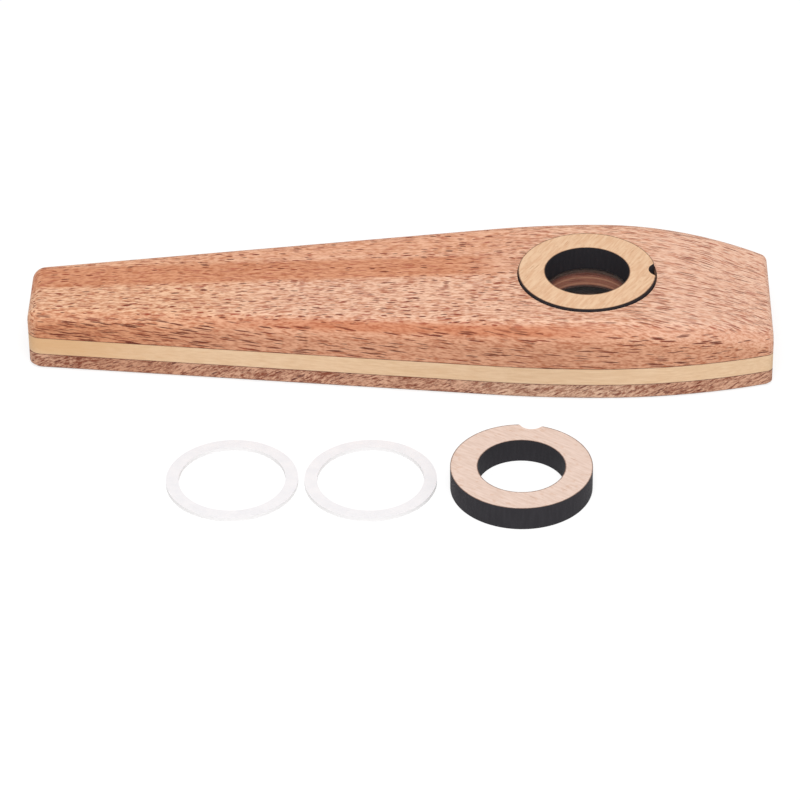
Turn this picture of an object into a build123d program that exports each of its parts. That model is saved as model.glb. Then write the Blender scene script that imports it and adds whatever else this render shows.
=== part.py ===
# Wooden kazoo: a laminated body with an air channel, a membrane under a retaining ring, and its spares.
# Millimetres. +X runs from the mouth end to the wide end, +Y to the back, +Z up. The origin is on the
# underside of the body, half way along it.
import os
from math import atan2, cos, sqrt, tan

from build123d import *

os.makedirs("parts", exist_ok=True)

# Body outline, seen from above: a straight taper, a swell to the widest point and a shorter fall to the end.
LENGTH = 127.0
MOUTH_HALF_WIDTH = 8.05
PEAK_HALF_WIDTH = 17.75
WIDE_HALF_WIDTH = 13.35
PEAK_FROM_END = 29.3
KNEE_TO_PEAK = 9.5

# Layers of the body, and the top block's thickness at the mouth end, the crest and the wide end.
PLATE_THICKNESS = 3.1
CORE_THICKNESS = 3.15
MOUTH_THICKNESS = 4.75
CREST_THICKNESS = 7.75
WIDE_THICKNESS = 3.7

# Edges eased: the shoulders along the top, at the mouth end, the crest and the wide end, then the edges of the
# two ends and of the underside.
MOUTH_SHOULDER = 2.6
CREST_SHOULDER = 3.7
WIDE_SHOULDER = 2.9
MOUTH_ROUND = 2.4
WIDE_ROUND = 1.4
FOOT_CHAMFER = 0.6

# Air channel between the two rails of the core. A straight slot above it, as wide as the channel's mouth,
# reaches up into the top block by this share of the wood between the core and the membrane's ledge.
RAIL_WIDTH = 4.0
SLOT_SHARE = 0.485

# Membrane: a thin film on a flat rim.
RIM_DIAMETER = 21.9
RIM_WIDTH = 2.1
RIM_THICKNESS = 0.7
FILM_THICKNESS = 0.08
FILM_INSET = 0.15

# Retaining ring: reaches a little past the membrane's rim, and has a half-round notch to lift it by.
RING_FROM_END = 31.4
RING_OVERHANG = 0.8
RING_WALL = 4.5
RING_THICKNESS = 4.2
RING_PROUD = 0.45
RING_CLEARANCE = 0.2
NOTCH_RADIUS = 2.1
NOTCH_SETBACK = 0.85
NOTCH_EASE = 0.5
NOTCH_ANGLE = 2.0
SPARE_NOTCH_ANGLE = 82.0

# Sound hole under the membrane: this much wider than the ring's bore, all round.
SOUND_HOLE_MARGIN = 0.25

# Loose spares on the table in front of the body.
SPARE_RING_GAP = 13.0
SPARE_MEMBRANE_GAP = 12.5
SPARE_LEFT_FROM_MOUTH = 36.3
MEMBRANE_TO_MEMBRANE = 1.0
MEMBRANE_TO_RING = 2.2

# Cross-sections that the top block is drawn through.
SECTIONS = 24

# Places and sizes that follow from those above.
mouth_x = -LENGTH / 2
wide_x = LENGTH / 2
peak_x = wide_x - PEAK_FROM_END
knee_x = peak_x - KNEE_TO_PEAK
ring_x = wide_x - RING_FROM_END
core_z = PLATE_THICKNESS
block_z = core_z + CORE_THICKNESS
crest_z = block_z + CREST_THICKNESS
ring_z = crest_z + RING_PROUD - RING_THICKNESS
film_z = ring_z - FILM_THICKNESS
ledge_z = film_z - RIM_THICKNESS
slot_width = 2 * (MOUTH_HALF_WIDTH - RAIL_WIDTH)
slot_depth = SLOT_SHARE * (ledge_z - block_z)
rim_radius = RIM_DIAMETER / 2
rim_bore = rim_radius - RIM_WIDTH
film_radius = rim_radius - FILM_INSET
ring_radius = rim_radius + RING_OVERHANG
ring_bore = ring_radius - RING_WALL
pocket_radius = ring_radius + RING_CLEARANCE
sound_hole_radius = ring_bore + SOUND_HOLE_MARGIN
left_x = mouth_x + SPARE_LEFT_FROM_MOUTH
right_x = left_x + RIM_DIAMETER + MEMBRANE_TO_MEMBRANE
spare_ring_x = right_x + rim_radius + MEMBRANE_TO_RING + ring_radius
spare_ring_y = -(PEAK_HALF_WIDTH + SPARE_RING_GAP + ring_radius)
spare_membrane_y = -(PEAK_HALF_WIDTH + SPARE_MEMBRANE_GAP + rim_radius)


def flank_at(x, mouth, peak, wide):
    """How far out a long edge of the body lies at x, given its places at the mouth, the peak and the end."""
    slope = atan2(peak - mouth, knee_x - mouth_x)
    bend_x = knee_x - KNEE_TO_PEAK * cos(slope)
    if x <= bend_x:
        return mouth + (x - mouth_x) * tan(slope)
    if x <= peak_x:
        radius = KNEE_TO_PEAK / tan(slope / 2)
    else:
        radius = (PEAK_FROM_END**2 + (peak - wide) ** 2) / (peak - wide) / 2
    return peak - radius + sqrt(radius**2 - (x - peak_x) ** 2)


def flank(mouth, peak, wide):
    """The same long edge, drawn: a straight taper, an arc that levels off at the peak, and an arc down."""
    slope = atan2(peak - mouth, knee_x - mouth_x)
    bend_x = knee_x - KNEE_TO_PEAK * cos(slope)
    bend = (bend_x, flank_at(bend_x, mouth, peak, wide))
    Line((mouth_x, mouth), bend)
    TangentArc((peak_x, peak), bend, tangent=(-1, 0))
    TangentArc((peak_x, peak), (wide_x, wide), tangent=(1, 0))


def plan(inset):
    """The body's outline from above, drawn in from its long edges by the inset."""
    mouth = MOUTH_HALF_WIDTH - inset
    wide = WIDE_HALF_WIDTH - inset
    flank(mouth, PEAK_HALF_WIDTH - inset, wide)
    mirror(about=Plane.XZ)
    Line((mouth_x, mouth), (mouth_x, -mouth))
    Line((wide_x, wide), (wide_x, -wide))


with BuildSketch() as outline:
    with BuildLine():
        plan(0)
    make_face()
    fillet(outline.vertices().group_by(Axis.X)[0], MOUTH_ROUND)
    fillet(outline.vertices().group_by(Axis.X)[-1], WIDE_ROUND)

with BuildSketch() as channel:
    with BuildLine():
        plan(RAIL_WIDTH)
    make_face()

with BuildSketch() as ring_face:
    Circle(ring_radius)
    with Locations((ring_radius + NOTCH_SETBACK, 0)):
        Circle(NOTCH_RADIUS, mode=Mode.SUBTRACT)
    fillet(ring_face.vertices().sort_by_distance((2 * ring_radius, 0))[:2], NOTCH_EASE)
    Circle(ring_bore, mode=Mode.SUBTRACT)

# Bottom plate: closes the air channel from below and carries the flat face that the kazoo rests on.
with BuildPart() as bottom_plate:
    with BuildSketch():
        add(outline.sketch)
    extrude(amount=PLATE_THICKNESS)
    chamfer(bottom_plate.faces().sort_by(Axis.Z)[0].edges(), FOOT_CHAMFER)
bottom_plate.part.label = "bottom_plate"
export_step(bottom_plate.part, "parts/bottom_plate.step")

# Core: two pale rails that follow the outline, with the air channel between them.
with BuildPart() as core_rail_front:
    with BuildSketch(Plane.XY.offset(core_z)):
        add(outline.sketch)
        add(channel.sketch, mode=Mode.SUBTRACT)
    extrude(amount=CORE_THICKNESS)
    split(bisect_by=Plane.XZ, keep=Keep.TOP)
core_rail_front.part.label = "core_rail_front"
export_step(core_rail_front.part, "parts/core_rail_front.step")

with BuildPart() as core_rail_back:
    with BuildSketch(Plane.XY.offset(core_z)):
        add(outline.sketch)
        add(channel.sketch, mode=Mode.SUBTRACT)
    extrude(amount=CORE_THICKNESS)
    split(bisect_by=Plane.XZ, keep=Keep.BOTTOM)
core_rail_back.part.label = "core_rail_back"
export_step(core_rail_back.part, "parts/core_rail_back.step")

# Top block: drawn through cross-sections with rounded shoulders, so that it tapers in plan and is crowned
# along its length. It has the pocket for the membrane and ring, the sound hole in the pocket's floor and the
# slot above the air channel.
with BuildPart() as top_block:
    for section in range(SECTIONS):
        x = mouth_x + LENGTH * section / (SECTIONS - 1)
        half_width = flank_at(x, MOUTH_HALF_WIDTH, PEAK_HALF_WIDTH, WIDE_HALF_WIDTH)
        thickness = flank_at(x, MOUTH_THICKNESS, CREST_THICKNESS, WIDE_THICKNESS)
        shoulder = flank_at(x, MOUTH_SHOULDER, CREST_SHOULDER, WIDE_SHOULDER)
        with BuildSketch(Plane.YZ.offset(x)) as cross_section:
            Rectangle(2 * half_width, block_z + thickness, align=(Align.CENTER, Align.MIN))
            fillet(cross_section.vertices().group_by(Axis.Y)[-1], shoulder)
    loft()
    split(bisect_by=Plane.XY.offset(block_z), keep=Keep.TOP)
    mouth_face = top_block.faces().sort_by(Axis.X)[0]
    fillet(mouth_face.edges().sort_by(Axis.Z)[1:], MOUTH_ROUND)
    wide_face = top_block.faces().sort_by(Axis.X)[-1]
    fillet(wide_face.edges().sort_by(Axis.Z)[1:], WIDE_ROUND)
    with BuildSketch(Plane.XY.offset(block_z)):
        Rectangle(LENGTH, slot_width)
    extrude(amount=slot_depth, mode=Mode.SUBTRACT)
    with BuildSketch(Plane.XY.offset(block_z)):
        with Locations((ring_x, 0)):
            Circle(sound_hole_radius)
    extrude(amount=CREST_THICKNESS, mode=Mode.SUBTRACT)
    with BuildSketch(Plane.XY.offset(ledge_z)):
        with Locations((ring_x, 0)):
            Circle(pocket_radius)
    extrude(amount=RING_THICKNESS + FILM_THICKNESS + RIM_THICKNESS, mode=Mode.SUBTRACT)
top_block.part.label = "top_block"
export_step(top_block.part, "parts/top_block.step")

# Membrane in the pocket: the rim lies on the ledge round the sound hole, the film on the rim.
with BuildPart() as membrane_rim:
    with BuildSketch(Plane.XY.offset(ledge_z)):
        with Locations((ring_x, 0)):
            Circle(rim_radius)
            Circle(rim_bore, mode=Mode.SUBTRACT)
    extrude(amount=RIM_THICKNESS)
membrane_rim.part.label = "membrane_rim"
export_step(membrane_rim.part, "parts/membrane_rim.step")

with BuildPart() as membrane_film:
    with BuildSketch(Plane.XY.offset(film_z)):
        with Locations((ring_x, 0)):
            Circle(film_radius)
    extrude(amount=FILM_THICKNESS)
membrane_film.part.label = "membrane_film"
export_step(membrane_film.part, "parts/membrane_film.step")

# Retaining ring: holds the membrane down and stands a little proud of the crown.
with BuildPart() as retaining_ring:
    with BuildSketch(Plane.XY.offset(ring_z)):
        with Locations(Location((ring_x, 0), NOTCH_ANGLE)):
            add(ring_face.sketch)
    extrude(amount=RING_THICKNESS)
retaining_ring.part.label = "retaining_ring"
export_step(retaining_ring.part, "parts/retaining_ring.step")

# Spare ring: the same ring, lying flat on the table.
with BuildPart() as spare_ring:
    with BuildSketch():
        with Locations(Location((spare_ring_x, spare_ring_y), SPARE_NOTCH_ANGLE)):
            add(ring_face.sketch)
    extrude(amount=RING_THICKNESS)
spare_ring.part.label = "spare_ring"
export_step(spare_ring.part, "parts/spare_ring.step")

# Spare membranes: the same rim and film, lying flat on the table.
with BuildPart() as spare_left_rim:
    with BuildSketch():
        with Locations((left_x, spare_membrane_y)):
            Circle(rim_radius)
            Circle(rim_bore, mode=Mode.SUBTRACT)
    extrude(amount=RIM_THICKNESS)
spare_left_rim.part.label = "spare_left_rim"
export_step(spare_left_rim.part, "parts/spare_left_rim.step")

with BuildPart() as spare_left_film:
    with BuildSketch(Plane.XY.offset(RIM_THICKNESS)):
        with Locations((left_x, spare_membrane_y)):
            Circle(film_radius)
    extrude(amount=FILM_THICKNESS)
spare_left_film.part.label = "spare_left_film"
export_step(spare_left_film.part, "parts/spare_left_film.step")

with BuildPart() as spare_right_rim:
    with BuildSketch():
        with Locations((right_x, spare_membrane_y)):
            Circle(rim_radius)
            Circle(rim_bore, mode=Mode.SUBTRACT)
    extrude(amount=RIM_THICKNESS)
spare_right_rim.part.label = "spare_right_rim"
export_step(spare_right_rim.part, "parts/spare_right_rim.step")

with BuildPart() as spare_right_film:
    with BuildSketch(Plane.XY.offset(RIM_THICKNESS)):
        with Locations((right_x, spare_membrane_y)):
            Circle(film_radius)
    extrude(amount=FILM_THICKNESS)
spare_right_film.part.label = "spare_right_film"
export_step(spare_right_film.part, "parts/spare_right_film.step")
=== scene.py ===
from math import radians

import bpy
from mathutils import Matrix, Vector


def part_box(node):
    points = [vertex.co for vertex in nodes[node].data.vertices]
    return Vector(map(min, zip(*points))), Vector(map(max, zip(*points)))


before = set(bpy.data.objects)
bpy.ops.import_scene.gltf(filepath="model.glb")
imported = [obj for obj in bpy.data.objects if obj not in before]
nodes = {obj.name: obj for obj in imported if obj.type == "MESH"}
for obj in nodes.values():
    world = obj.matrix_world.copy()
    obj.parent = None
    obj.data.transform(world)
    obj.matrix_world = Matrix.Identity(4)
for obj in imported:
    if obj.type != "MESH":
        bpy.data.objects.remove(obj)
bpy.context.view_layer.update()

scene = bpy.context.scene

# Blender's lengths are metres. The materials work in millimetres, in the shared frame.
MM = 0.001


def corners(node):
    """A node's lowest and highest corner, in millimetres."""
    low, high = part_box(node)
    return low / MM, high / MM


block_low, block_high = corners("top_block")
rim_low, rim_high = corners("membrane_rim")
spare_low, spare_high = corners("spare_ring")

# Widths that the boxes of the ring and the rim don't give.
RING_WALL = 4.5
RIM_WIDTH = 2.1

# Places and sizes from the frame. The notch cuts the spare ring's back, so its centre is taken from its
# front.
MOUTH_END = block_low.x
LENGTH = block_high.x - block_low.x
CORE_FOOT = corners("core_rail_front")[0].z
BLOCK_FOOT = block_low.z
LEDGE = rim_low.z
RIM_BORE = (rim_high.x - rim_low.x) / 2 - RIM_WIDTH
RING_CENTRE = (rim_low + rim_high) / 2
RING_RADIUS = (spare_high.x - spare_low.x) / 2
RING_BORE = RING_RADIUS - RING_WALL
SPARE_CENTRE = Vector(((spare_low.x + spare_high.x) / 2, spare_low.y + RING_RADIUS, 0.0))

# How far the films are drawn in, and the floor lowered, so that no two faces coincide.
CLEARANCE = 0.02

# The grain of each ring's face, turned from the x axis, in degrees.
RING_GRAIN = 60
SPARE_GRAIN = -35

# A glue line's reach from its joint, and how near to the joint it is at its darkest.
GLUE_REACH = 0.2
GLUE_CORE = 0.04

# Gloss of the matt materials and of the clear film, and how little of itself the film shows.
MATT_SPECULAR = 0.15
FILM_SPECULAR = 0.5
FILM_ALPHA = 0.012

# Floor and sky: the floor's half width in metres, the tone that takes its shadow, its glow, its tone as a
# source of light, and the strength of the sky as a source of light.
FLOOR_HALF = 4.0
FLOOR_SHADE = 0.25
FLOOR_GLOW = 0.8
FLOOR_PALE = 0.8
SKY_LIGHT = 0.45

# The lamp and the camera, in metres, watts and degrees. The camera was fitted to the photo, with its focal
# length in pixels of a picture of the given width, and the sensor in Blender's millimetres.
LAMP_PLACE = Vector((0.02, -0.44, 0.80))
LAMP_AIM = Vector((0.0, -0.01, 0.0))
LAMP_SIZE = 0.60
LAMP_POWER = 5.6
CAMERA_PLACE = (0.013593, -0.640973, 0.439678)
CAMERA_TURN = (54.8026, 0.6131, 0.7959)
CAMERA_CLIP = (0.01, 20.0)
FOCAL_LENGTH = 4500.0
PICTURE_WIDTH = 800.0
SENSOR_WIDTH = 36.0


def colour(red, green, blue):
    """A display colour, 0 to 255, as the linear values that the shader takes."""
    def linear(level):
        level = level / 255
        return level / 12.92 if level <= 0.04045 else ((level + 0.055) / 1.055) ** 2.4
    return (linear(red), linear(green), linear(blue), 1.0)


def grey(level):
    """A linear grey, from 0 to 1."""
    return (level, level, level, 1.0)


# Light and dark tones of the top block's regions.
TOP_TONES = {
    "middle": (colour(250, 206, 177), colour(200, 132, 100)),
    "mouth end": (colour(249, 202, 166), colour(196, 126, 91)),
    "past the ring": (colour(248, 206, 180), colour(218, 158, 129)),
    "back": (colour(240, 182, 148), colour(202, 132, 96)),
    "band": (colour(224, 156, 118), colour(188, 114, 78)),
    # The shoulder's tones are darker than the top and the side: painted shade where the edge rounds over
    # between them.
    "shoulder": (colour(212, 140, 103), colour(182, 105, 71)),
    "side": (colour(229, 172, 139), colour(184, 114, 82)),
    "side at the mouth end": (colour(221, 155, 116), colour(171, 99, 69)),
}

# Light and dark tones of the bottom plate's regions.
PLATE_TONES = {
    "middle": (colour(224, 176, 147), colour(138, 78, 58)),
    "near the mouth end": (colour(212, 160, 130), colour(132, 72, 52)),
    "below the ring": (colour(232, 193, 165), colour(152, 98, 77)),
}

# Light and dark tones of each ring's face, and the tone of its rays.
RING_TONES = (colour(240, 203, 167), colour(226, 181, 144), colour(214, 168, 132))
SPARE_TONES = (colour(238, 213, 199), colour(224, 197, 181), colour(214, 174, 148))


class Tree:
    """A node tree, with short names for the nodes that go into it."""

    def __init__(self, tree):
        self.tree = tree

    def put(self, socket, value):
        """Links a socket to another node's output, or sets its own value."""
        if isinstance(value, bpy.types.NodeSocket):
            self.tree.links.new(value, socket)
        else:
            socket.default_value = value

    def node(self, kind, inputs, **settings):
        """Adds a shader node with its inputs and its settings."""
        made = self.tree.nodes.new("ShaderNode" + kind)
        for name, value in settings.items():
            setattr(made, name, value)
        for name, value in inputs.items():
            self.put(made.inputs[name], value)
        return made

    def math(self, operation, first, *others):
        """Takes the first value and each of the others in turn through one operation."""
        for other in others or (0.0,):
            first = self.node("Math", {0: first, 1: other}, operation=operation).outputs[0]
        return first

    def add(self, *values):
        return self.math("ADD", *values)

    def times(self, *values):
        return self.math("MULTIPLY", *values)

    def largest(self, *values):
        return self.math("MAXIMUM", *values)

    def absolute(self, value):
        return self.math("ABSOLUTE", value)

    def weighted(self, *parts):
        """Adds up values, each times its own weight."""
        return self.add(*[self.times(value, weight) for value, weight in parts])

    def vector(self, x, y, z):
        return self.node("CombineXYZ", {0: x, 1: y, 2: z}).outputs[0]

    def parts(self, vector):
        return tuple(self.node("SeparateXYZ", {0: vector}).outputs)

    def step(self, value, low, high, start=0.0, end=1.0):
        """Runs smoothly from start to end as the value goes from low to high."""
        limits = {"Value": value, "From Min": low, "From Max": high, "To Min": start, "To Max": end}
        return self.node("MapRange", limits, interpolation_type="SMOOTHSTEP").outputs["Result"]

    def noise(self, vector, scale=1.0, detail=2.0, roughness=0.5):
        inputs = {"Vector": vector, "Scale": scale, "Detail": detail, "Roughness": roughness}
        return self.node("TexNoise", inputs).outputs["Fac"]

    def blend(self, share, first, second):
        """Mixes two colours. The Mix node's colour sockets are its inputs 6 and 7 and its output 2."""
        return self.node("Mix", {0: share, 6: first, 7: second}, data_type="RGBA").outputs[2]

    def seen(self):
        """1 on the rays that show a surface to the eye, straight, mirrored or through glass, and else 0."""
        path = self.node("LightPath", {}).outputs
        return self.largest(path["Is Camera Ray"], path["Is Glossy Ray"], path["Is Transmission Ray"])


class Finish(Tree):
    """One procedural material, with the place in millimetres and the way that the surface faces."""

    def __init__(self, name, specular=MATT_SPECULAR):
        self.material = bpy.data.materials.new(name)
        self.material.use_nodes = True
        super().__init__(self.material.node_tree)
        self.shader = self.tree.nodes["Principled BSDF"]
        self.shader.inputs["Specular IOR Level"].default_value = specular
        given = self.node("TexCoord", {}).outputs
        scaled = self.node("VectorMath", {0: given["Object"], "Scale": 1 / MM}, operation="SCALE")
        self.point = scaled.outputs[0]
        self.place = self.parts(self.point)
        self.x, self.y, self.z = self.place
        facing = self.parts(given["Normal"])
        self.facing_y = facing[1]
        self.facing_z = facing[2]

    def finish(self, base, roughness, height, depth):
        """Sets colour, roughness and a bump of the given depth in millimetres."""
        bump = self.node("Bump", {"Height": height, "Distance": depth * MM, "Strength": 1.0})
        self.put(self.shader.inputs["Base Color"], base)
        self.put(self.shader.inputs["Roughness"], roughness)
        self.put(self.shader.inputs["Normal"], bump.outputs[0])
        return self.material


def along(f):
    """How far along the body a point lies: 0 at the mouth end and 1 at the wide end."""
    return f.times(f.add(f.x, -MOUTH_END), 1 / LENGTH)


def about(f, centre):
    """Offsets in x and y from a centre."""
    return f.add(f.x, -centre.x), f.add(f.y, -centre.y)


def distance(f, dx, dy):
    return f.math("SQRT", f.add(f.times(dx, dx), f.times(dy, dy)))


def upright(f):
    """1 on upright walls and 0 on level faces."""
    return f.step(f.absolute(f.facing_z), 0.75, 0.45)


def streaks(f, grain, scales, detail=2.0, roughness=0.6, offset=0.0):
    """Noise drawn out by three scales, in changes per millimetre. The offset takes it from another place."""
    u, v, w = [f.times(part, scale) for part, scale in zip(grain, scales)]
    return f.noise(f.vector(f.add(u, offset), v, w), detail=detail, roughness=roughness)


def wander(f, scales, reach):
    """A slow drift of the grain to either side, over the given reach in millimetres."""
    return f.times(f.add(streaks(f, f.place, scales), -0.5), reach)


def pores(f, grain, length, across, fill, keep):
    """
    Vessel lines: thin cells along the grain, of the given length and width. Each has its own hue and its own
    size, up to the fill, and only the share to keep shows. Gives how much shows at each place, and the hue.
    """
    smallest = 0.4 * fill
    # A cell that doesn't show keeps a size too small to see, because the distance is divided by it.
    least = 0.001
    u, v, w = grain
    cell = f.vector(f.times(u, 1 / length), f.times(v, 1 / across), f.times(w, 1 / across))
    made = f.node("TexVoronoi", {"Vector": cell, "Scale": 1.0, "Randomness": 1.0}, feature="F1")
    chance, hue, size = f.node("SeparateColor", {0: made.outputs["Color"]}).outputs
    shown = f.step(f.math("SUBTRACT", chance, f.math("SUBTRACT", 1.0, keep)), 0.0, 0.02)
    reach = f.largest(f.times(shown, f.step(size, 0.0, 1.0, smallest, fill)), least)
    return f.step(f.math("DIVIDE", made.outputs["Distance"], reach), 1.0, 0.6), hue


def pair(f, share, first, second):
    """Two colours, light and dark, moved together from the first pair to the second."""
    return f.blend(share, first[0], second[0]), f.blend(share, first[1], second[1])


def glue_line(f, base, joint, side, tone):
    """A thin dark line beside a glued joint at the given height: side is 1 above the joint, -1 below it."""
    line = f.step(f.z, joint + side * GLUE_REACH, joint + side * GLUE_CORE)
    return f.blend(f.times(line, 0.8), base, tone)


def top_grain(f):
    """The grain runs along the body, bends towards the front past the middle, and dips below the surface."""
    bend = 0.001
    slant = 0.03
    dip = 0.06
    drift = wander(f, (0.03, 0.06, 0.06), reach=4.0)
    past = f.largest(f.x, 0.0)
    across = f.add(f.y, f.times(past, past, bend), drift, f.times(f.x, slant))
    depth = f.add(f.z, f.times(f.x, dip), f.times(drift, 0.3))
    return f.x, across, depth


def top_tones(f, station, lean, band, back):
    """Light and dark tone at each place: the middle's, with each region's laid over those before it."""
    # The rounded shoulders take darker tones, a painted shade where the edge turns from the top to the side,
    # weaker past the ring and at the mouth end.
    rounded = f.times(f.step(lean, 0.2, 0.6), f.step(lean, 1.0, 0.8))
    weaker_past_ring = f.step(station, 0.657, 0.862, 0.95, 0.35)
    weaker_at_mouth = f.step(station, 0.437, 0.146, 1.0, 0.4)
    shoulder = f.times(rounded, weaker_past_ring, weaker_at_mouth)
    side = pair(f, f.step(station, 0.358, 0.059), TOP_TONES["side"], TOP_TONES["side at the mouth end"])
    regions = (
        (f.step(station, 0.382, 0.185), TOP_TONES["mouth end"]),
        (f.step(station, 0.799, 0.878), TOP_TONES["past the ring"]),
        (f.times(back, 0.8), TOP_TONES["back"]),
        (f.times(band, 0.9), TOP_TONES["band"]),
        (shoulder, TOP_TONES["shoulder"]),
        (f.step(lean, 0.75, 1.0), side),
    )
    tones = TOP_TONES["middle"]
    for cover, region in regions:
        tones = pair(f, cover, tones, region)
    return tones


def top_pores(f, grain, station, lean, calm, base):
    """
    Dark dashes where the top cuts across the pores, red hairlines between them, finer lines past the ring and
    long strokes on the sides, most of them crowded in some streaks. Gives the colour, and how hollow it is.
    """
    u, v, w = grain
    crowd = streaks(f, grain, (0.04, 0.5, 0.7), roughness=0.5, offset=60.0)
    many = f.step(crowd, 0.3, 0.65, 0.65, 1.0)
    wide_end = f.step(station, 0.579, 0.815)
    upward = f.step(lean, 0.7, 0.35)
    # Lines on the face are drawn out in depth, and those on the sides in width. Offsets keep the kinds apart.
    depth = f.times(w, 0.4)
    width = f.times(v, 0.2)
    hair_grain = (u, f.add(v, 40.0), depth)
    fine_grain = (u, f.add(v, 80.0), depth)
    long_grain = (u, width, w)
    deep_grain = (u, f.add(width, 20.0), w)
    dense = f.add(f.times(many, 0.85), f.step(station, 0.461, 0.185, 0.0, 0.3))
    extra = f.step(station, 0.5, 0.217, 0.0, 0.6)
    dash, dash_hue = pores(f, grain, length=2.2, across=0.37, fill=0.48, keep=f.times(many, calm, 0.8))
    hair, hair_hue = pores(f, hair_grain, length=3.0, across=0.28, fill=0.48, keep=0.9)
    fine, fine_hue = pores(f, fine_grain, length=4.2, across=0.30, fill=0.52, keep=f.times(many, 0.9))
    long, long_hue = pores(f, long_grain, length=4.6, across=0.28, fill=0.5, keep=dense)
    deep, deep_hue = pores(f, deep_grain, length=4.0, across=0.27, fill=0.5, keep=extra)
    # The face's kinds fade out over the shoulders, and the sides' kinds fade in.
    dash = f.times(dash, f.step(lean, 0.8, 0.4), f.step(wide_end, 0.0, 1.0, 1.0, 0.3))
    hair = f.times(hair, upward, f.step(wide_end, 0.0, 1.0, 0.7, 0.6))
    fine = f.times(fine, upward, wide_end)
    stroke = f.times(f.largest(long, deep), f.step(lean, 0.45, 0.85))
    kinds = (
        (hair, 1.0, hair_hue, colour(150, 58, 44), colour(184, 90, 70)),
        (dash, 0.9, dash_hue, colour(88, 30, 20), colour(156, 58, 34)),
        (fine, 0.75, fine_hue, colour(104, 40, 32), colour(168, 80, 56)),
        (stroke, 0.9, f.times(long_hue, deep_hue), colour(86, 30, 24), colour(160, 66, 46)),
    )
    for shape, strength, hue, dark, light in kinds:
        base = f.blend(f.times(shape, strength), base, f.blend(hue, dark, light))
    return base, f.largest(dash, hair, fine, stroke)


def turned_wood(f, base):
    """Inside the sound hole: bare turned wood with two pale tool marks, painted shadow of the ring, near
    black on the ledge and just below it and dark red further down, and painted shade at the foot.
    """
    # Painted shadow of the ring: dark red down the top of the wall, near black on the ledge and just below
    # it.
    ring_shadow_band = (LEDGE - 1.17, LEDGE - 0.47)
    deep_shadow_under_ring = (LEDGE - 0.52, LEDGE - 0.17)
    # Painted shade near the foot of the wall.
    shade_at_foot = (BLOCK_FOOT + 0.5, BLOCK_FOOT + 0.25)
    marks = ((LEDGE - 1.37, 0.7), (BLOCK_FOOT + 0.7, 0.55))
    mark_half = (0.24, 0.06)
    under_rim = (LEDGE + 0.28, LEDGE + 0.18)
    within_rim = (RIM_BORE + 0.05, RIM_BORE - 0.25)
    # The dark red at the top of the wall is painted shadow of the ring.
    bare = f.blend(f.step(f.z, *ring_shadow_band), colour(176, 108, 84), colour(104, 44, 36))
    for height, strength in marks:
        mark = f.step(f.absolute(f.add(f.z, -height)), *mark_half)
        bare = f.blend(f.times(mark, strength), bare, colour(228, 168, 134))
    # Painted shadow under the ring, near black, then painted shade at the foot.
    bare = f.blend(f.step(f.z, *deep_shadow_under_ring), bare, colour(46, 37, 36))
    bare = f.blend(f.step(f.z, *shade_at_foot), bare, colour(50, 42, 42))
    radius = distance(f, *about(f, RING_CENTRE))
    inside = f.times(f.step(radius, *within_rim), f.step(f.z, *under_rim))
    return f.blend(f.times(inside, 0.85), base, bare)


def top_wood():
    f = Finish("top_wood")
    grain = top_grain(f)
    station = along(f)
    lean = f.absolute(f.facing_y)
    level = f.step(lean, 0.6, 0.2)
    broad = streaks(f, grain, (0.025, 0.4, 0.4))
    fibre = streaks(f, grain, (0.22, 2.4, 2.4))
    fleck = streaks(f, grain, (0.55, 2.0, 2.0), detail=3.0, roughness=0.7, offset=30.0)
    grit = streaks(f, grain, (1.0, 3.8, 3.8), detail=1.0, roughness=0.5, offset=90.0)
    # A band just behind the middle, and the back beyond it, are deeper in tone and have fewer pores.
    band_middle = 3.1
    band_half = (3.9, 2.2)
    back_start = (5.0, 8.0)
    ragged = f.times(f.add(fleck, -0.5), 1.6)
    from_middle = f.absolute(f.add(f.y, -band_middle, ragged))
    band = f.times(f.step(from_middle, *band_half), f.step(station, 0.705, 0.563), level)
    back = f.times(f.step(f.y, *back_start), f.step(station, 0.752, 0.594), level)
    calm = f.step(f.largest(band, f.times(back, 0.6)), 0.0, 1.0, 1.0, 0.45)
    light, dark = top_tones(f, station, lean, band, back)
    figure = f.weighted((fibre, 0.42), (fleck, 0.3), (broad, 0.12), (grit, 0.55))
    base = f.blend(f.step(figure, 0.555, 0.885), light, dark)
    base, hollow = top_pores(f, grain, station, lean, calm, base)
    base = turned_wood(f, base)
    base = glue_line(f, base, BLOCK_FOOT, 1, colour(98, 58, 46))
    rough = f.add(f.step(fibre, 0.2, 0.8, 0.48, 0.6), f.times(hollow, 0.2))
    height = f.weighted((fleck, 0.25), (hollow, -1.0))
    return f.finish(base, rough, height, depth=0.06)


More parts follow.
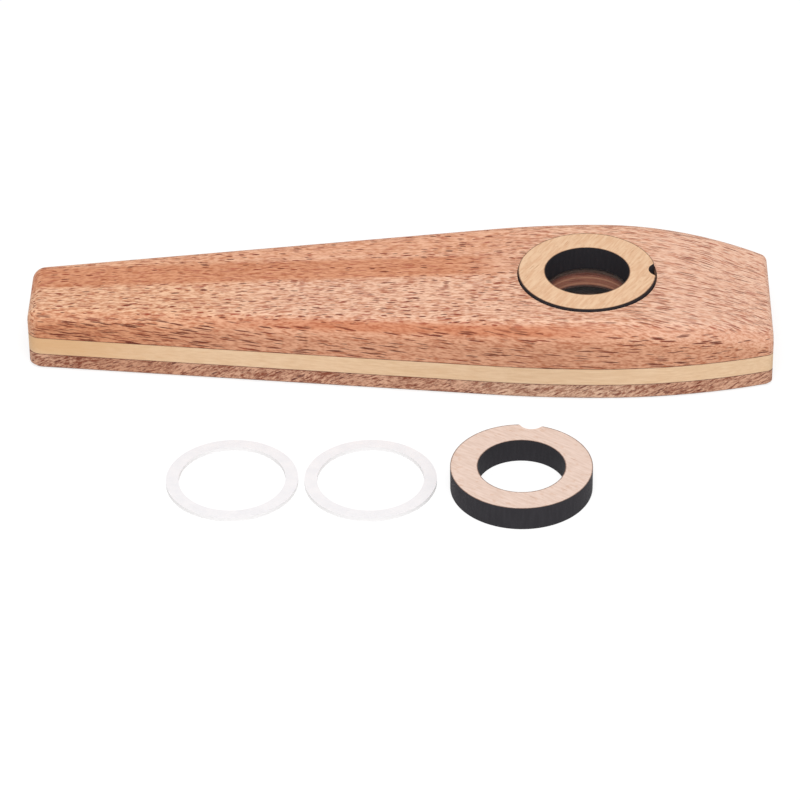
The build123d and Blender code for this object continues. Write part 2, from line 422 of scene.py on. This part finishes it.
def bottom_wood():
    f = Finish("bottom_wood")
    # On the edge the grain climbs towards the wide end in short strokes. On the faces it runs lengthways.
    run = 0.9
    rise = 0.44
    drift = wander(f, (0.05, 0.1, 0.1), reach=5.0)
    sideways = f.add(f.y, drift)
    climb = f.add(f.times(f.z, run), f.times(f.x, -rise), drift)
    edge = f.vector(f.weighted((f.x, run), (f.z, rise)), f.times(sideways, 0.3), climb)
    face = f.vector(f.times(f.x, 0.35), sideways, f.z)
    flat = f.step(f.absolute(f.facing_z), 0.8, 0.95)
    grain = f.parts(f.blend(flat, edge, face))
    broad = streaks(f, (f.x, grain[1], grain[2]), (0.06, 0.25, 0.25))
    fibre = streaks(f, grain, (0.65, 3.0, 3.0), detail=3.0, roughness=0.7)
    fleck = streaks(f, grain, (1.3, 3.0, 3.0), detail=3.0, roughness=0.7, offset=30.0)
    # A little deeper in tone near the mouth end, and barer below the ring.
    station = along(f)
    deeper = f.times(f.step(station, 0.264, 0.154), f.step(station, 0.012, 0.106))
    barer = f.times(f.step(station, 0.547, 0.673), f.step(station, 0.878, 0.783))
    tones = pair(f, deeper, PLATE_TONES["middle"], PLATE_TONES["near the mouth end"])
    light, dark = pair(f, barer, tones, PLATE_TONES["below the ring"])
    figure = f.weighted((fibre, 0.7), (fleck, 0.6), (broad, 0.3))
    base = f.blend(f.step(figure, 0.65, 0.95), light, dark)
    hollow, hue = pores(f, grain, length=1.9, across=0.4, fill=0.46, keep=0.65)
    base = f.blend(f.times(hollow, 0.75), base, f.blend(hue, colour(90, 44, 44), colour(124, 58, 42)))
    base = glue_line(f, base, CORE_FOOT, -1, colour(92, 56, 48))
    rough = f.add(f.step(fibre, 0.2, 0.8, 0.5, 0.62), f.times(hollow, 0.2))
    height = f.weighted((fibre, 0.25), (hollow, -1.0))
    return f.finish(base, rough, height, depth=0.05)


def core_wood():
    """Pale close-grained wood, with faint broad streaks and a warmer, darker tone in blotches towards the
    mouth end.
    """
    f = Finish("core_wood")
    broad = streaks(f, f.place, (0.05, 0.25, 0.25), roughness=0.5)
    fibre = streaks(f, f.place, (0.25, 3.0, 3.0), detail=3.0)
    warmer_towards_mouth = f.times(f.step(along(f), 0.28, 0.028), f.step(broad, 0.3, 0.6, 0.5, 1.0))
    base = f.blend(f.step(fibre, 0.25, 0.75), colour(243, 210, 174), colour(231, 194, 155))
    base = f.blend(f.times(f.step(broad, 0.45, 0.7), 0.3), base, colour(222, 184, 140))
    base = f.blend(f.times(warmer_towards_mouth, 0.7), base, colour(226, 178, 128))
    rough = f.step(fibre, 0.2, 0.8, 0.5, 0.6)
    return f.finish(base, rough, fibre, depth=0.015)


def ring_wood(name, centre, turn, tones):
    """Pale plywood face with its grain turned, in degrees, charred cut walls and a thin singed edge."""
    f = Finish(name)
    light, dark, ray_tone = tones
    singe = 0.14
    overlap = 0.04
    dx, dy = about(f, centre)
    radius = distance(f, dx, dy)
    turning = {"Vector": f.vector(dx, dy, f.z), "Angle": radians(-turn)}
    grain = f.parts(f.node("VectorRotate", turning, rotation_type="Z_AXIS").outputs[0])
    fibre = streaks(f, grain, (0.35, 2.4, 2.4), detail=3.0)
    ray = streaks(f, grain, (0.9, 1.6, 1.0), roughness=0.5)
    base = f.blend(f.step(fibre, 0.3, 0.7), light, dark)
    base = f.blend(f.times(f.step(ray, 0.55, 0.75), 0.5), base, ray_tone)
    line, line_hue = pores(f, grain, length=3.2, across=0.34, fill=0.42, keep=0.22)
    base = f.blend(f.times(line, line_hue, 0.5), base, colour(176, 122, 88))
    ragged = f.times(f.noise(f.point, 2.0), 0.16)
    outer = f.step(f.add(radius, ragged), RING_RADIUS - singe, RING_RADIUS + overlap)
    inner = f.step(f.add(radius, f.times(ragged, -1.0)), RING_BORE + singe, RING_BORE - overlap)
    base = f.blend(f.times(f.largest(outer, inner), 0.8), base, colour(92, 56, 40))
    wall = upright(f)
    streak = streaks(f, f.place, (2.5, 2.5, 0.35), detail=3.0)
    char = f.blend(f.step(streak, 0.35, 0.7), colour(50, 48, 52), colour(55, 53, 57))
    base = f.blend(wall, base, char)
    rough = f.add(f.step(fibre, 0.2, 0.8, 0.52, 0.62), f.times(wall, 0.12))
    height = f.add(fibre, f.times(wall, streak, 0.5))
    return f.finish(base, rough, height, depth=0.02)


def rim_plastic():
    """White moulded plastic, faintly mottled, with painted light that makes its walls whiter to lift their
    shade.
    """
    f = Finish("rim_plastic")
    mottle = f.noise(f.point, 0.6, detail=3.0)
    grit = f.noise(f.point, 6.0)
    base = f.blend(f.step(mottle, 0.3, 0.7), colour(247, 244, 245), colour(242, 240, 242))
    # Painted light: the upright walls are whiter than the faces, lifting their shade.
    base = f.blend(upright(f), base, colour(254, 252, 252))
    return f.finish(base, f.step(grit, 0.3, 0.7, 0.42, 0.5), grit, depth=0.004)


def film_plastic():
    """Clear film, faintly puckered."""
    f = Finish("film_plastic", FILM_SPECULAR)
    f.shader.inputs["Alpha"].default_value = FILM_ALPHA
    pucker = f.noise(f.point, 0.35)
    return f.finish(colour(250, 250, 250), f.step(pucker, 0.3, 0.7, 0.08, 0.16), pucker, depth=0.05)


def draw_in(node):
    """Keeps a film's faces just clear of the rim and ring that it touches, inside its own thickness."""
    inset = nodes[node].modifiers.new("inset", "DISPLACE")
    inset.direction = "NORMAL"
    inset.mid_level = 0.0
    inset.strength = -CLEARANCE * MM


def wear(node, material):
    nodes[node].material_slots[0].material = material


def floor_material():
    """White where it is seen, with a faint shadow, and plain pale for the light that it sends back."""
    material = bpy.data.materials.new("floor")
    material.use_nodes = True
    material.node_tree.nodes.clear()
    f = Tree(material.node_tree)
    shaded = f.node("BsdfDiffuse", {"Color": grey(FLOOR_SHADE)})
    glow = f.node("Emission", {"Color": grey(1.0), "Strength": FLOOR_GLOW})
    shown = f.node("AddShader", {0: shaded.outputs[0], 1: glow.outputs[0]})
    plain = f.node("BsdfDiffuse", {"Color": grey(FLOOR_PALE)})
    both = f.node("MixShader", {0: f.seen(), 1: plain.outputs[0], 2: shown.outputs[0]})
    f.node("OutputMaterial", {"Surface": both.outputs[0]})
    return material


def make_floor():
    mesh = bpy.data.meshes.new("floor")
    signs = ((-1, -1), (1, -1), (1, 1), (-1, 1))
    mesh.from_pydata([(x * FLOOR_HALF, y * FLOOR_HALF, 0) for x, y in signs], [], [(0, 1, 2, 3)])
    mesh.materials.append(floor_material())
    floor = bpy.data.objects.new("floor", mesh)
    floor.location.z = -CLEARANCE * MM
    scene.collection.objects.link(floor)


def make_world():
    """A sky that is white to the eye and in reflections, and softer as light."""
    world = bpy.data.worlds.new("studio")
    world.use_nodes = True
    world.node_tree.nodes.clear()
    f = Tree(world.node_tree)
    level = f.node("MapRange", {"Value": f.seen(), "To Min": SKY_LIGHT, "To Max": 1.0})
    sky = f.node("Background", {"Color": grey(1.0), "Strength": level.outputs["Result"]})
    f.node("OutputWorld", {"Surface": sky.outputs[0]})
    scene.world = world


def make_lamp():
    data = bpy.data.lights.new("overhead", "AREA")
    data.shape = "DISK"
    data.size = LAMP_SIZE
    data.energy = LAMP_POWER
    lamp = bpy.data.objects.new("overhead", data)
    lamp.location = LAMP_PLACE
    lamp.rotation_mode = "QUATERNION"
    lamp.rotation_quaternion = (LAMP_AIM - LAMP_PLACE).to_track_quat("-Z", "Y")
    scene.collection.objects.link(lamp)


def make_camera():
    data = bpy.data.cameras.new("camera")
    data.sensor_width = SENSOR_WIDTH
    data.lens = SENSOR_WIDTH * FOCAL_LENGTH / PICTURE_WIDTH
    data.clip_start = CAMERA_CLIP[0]
    data.clip_end = CAMERA_CLIP[1]
    camera = bpy.data.objects.new("camera", data)
    camera.location = CAMERA_PLACE
    camera.rotation_euler = [radians(turn) for turn in CAMERA_TURN]
    scene.collection.objects.link(camera)
    return camera


# Each node's material.
wear("top_block", top_wood())
wear("bottom_plate", bottom_wood())
pale = core_wood()
for side in ("front", "back"):
    wear("core_rail_" + side, pale)
wear("retaining_ring", ring_wood("ring_wood", RING_CENTRE, RING_GRAIN, RING_TONES))
wear("spare_ring", ring_wood("spare_ring_wood", SPARE_CENTRE, SPARE_GRAIN, SPARE_TONES))
white = rim_plastic()
clear = film_plastic()
for name in ("membrane", "spare_left", "spare_right"):
    wear(name + "_rim", white)
    wear(name + "_film", clear)
    draw_in(name + "_film")

# The studio.
make_floor()
make_world()
make_lamp()
bpy.context.scene.camera = make_camera()
bpy.context.scene.view_settings.view_transform = "Standard"
